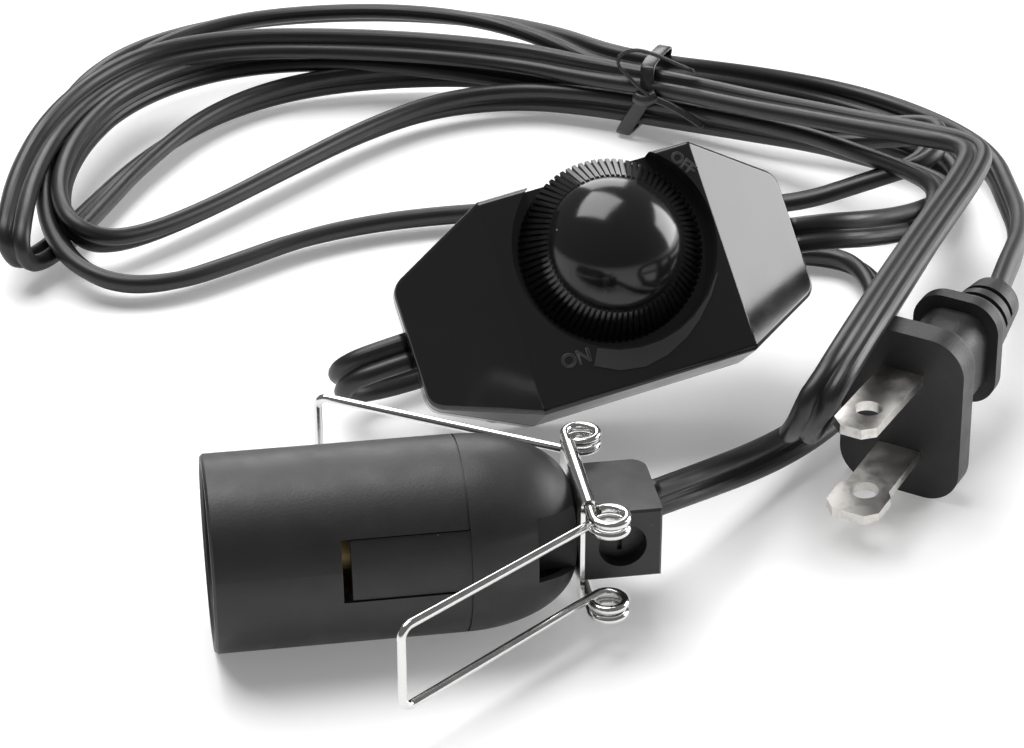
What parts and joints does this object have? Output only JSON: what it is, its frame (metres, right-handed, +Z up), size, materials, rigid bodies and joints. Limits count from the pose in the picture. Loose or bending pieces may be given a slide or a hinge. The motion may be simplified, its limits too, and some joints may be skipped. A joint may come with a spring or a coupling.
{
  "type": "inline cord dimmer",
  "caption": "Rotary inline dimmer on a flat twin cord, with a small screw lampholder held by a sprung wire clip and a two-blade plug, its spare cord in a tied hank.",
  "frame": {"origin": "on the table, below the middle of the dimmer's bounding box", "axes": "+Z up, +X along the dimmer's long side from the lamp's cord towards the supply cord, +Y away from the side that the knob faces"},
  "size_m": [0.1831, 0.2092, 0.0414],
  "materials": {
    "housing": "glossy black moulding",
    "knob": "glossy black knob with fine serrations",
    "control_shaft": "natural plastic shaft",
    "control_body": "plain metal can",
    "board": "phenolic board",
    "capacitor": "dipped coating",
    "component": "moulded package",
    "heat_sink": "bare sheet",
    "copper": "enamelled wire",
    "steel": "zinc plated",
    "cord": "soft black insulation with a low sheen",
    "holder": "satin black moulding",
    "insulator": "pale moulding",
    "brass": "bare brass",
    "spring_wire": "bright plated wire",
    "plug": "black moulding with fine texture",
    "blade": "nickel plated",
    "tie": "thin black plastic over wire"
  },
  "bodies": {
    "base": {"upper_shell": "housing", "lower_shell": "housing", "pot_body": "control_body", "circuit_board": "board", "capacitor": "capacitor", "triac": "component", "heat_sink": "heat_sink", "choke_core": "component", "choke_winding": "copper", "resistors": "capacitor", "diac": "component", "case_screws": "steel", "cord_clamps": "housing", "lamp_cord_end": "cord", "supply_cord_end": "cord", "board_leads": "cord", "holder_sleeve": "holder", "holder_rear_shell": "holder", "cord_grip": "holder", "grip_screw": "holder", "grip_cord_end": "cord", "contact_base": "insulator", "screw_shell": "brass", "centre_contact": "brass", "terminal_screws": "brass", "holder_leads": "cord", "clip_plate": "spring_wire", "upper_cross_wire": "spring_wire", "lower_cross_wire": "spring_wire", "plug_body": "plug", "upper_blade": "blade", "lower_blade": "blade", "lamp_cord": "cord", "supply_tail": "cord", "near_strand": "cord", "crossing_loop": "cord", "plug_lead": "cord", "hank": "cord", "twist_tie": "tie"},
    "dial": {"knob": "knob", "pot_shaft": "control_shaft"},
    "near_wing": {"near_wing": "spring_wire"},
    "far_wing": {"far_wing": "spring_wire"}
  },
  "joints": [
    {"name": "knob_turn", "type": "hinge", "parent": "base", "child": "dial", "pos_m": [-0.00181, -0.00223, 0.02801], "axis": [0.2622, 0.7457, -0.6125], "range_deg": [0, 270]},
    {"name": "near_wing_spring", "type": "hinge", "parent": "base", "child": "near_wing", "pos_m": [-0.03225, -0.05367, 0.01305], "axis": [0, 0, 1], "range_deg": [-17, 28], "stiffness_Nm_per_rad": 0.6},
    {"name": "far_wing_spring", "type": "hinge", "parent": "base", "child": "far_wing", "pos_m": [-0.025, -0.03375, 0.01305], "axis": [0, 0, -1], "range_deg": [-12, 28], "stiffness_Nm_per_rad": 0.6}
  ]
}
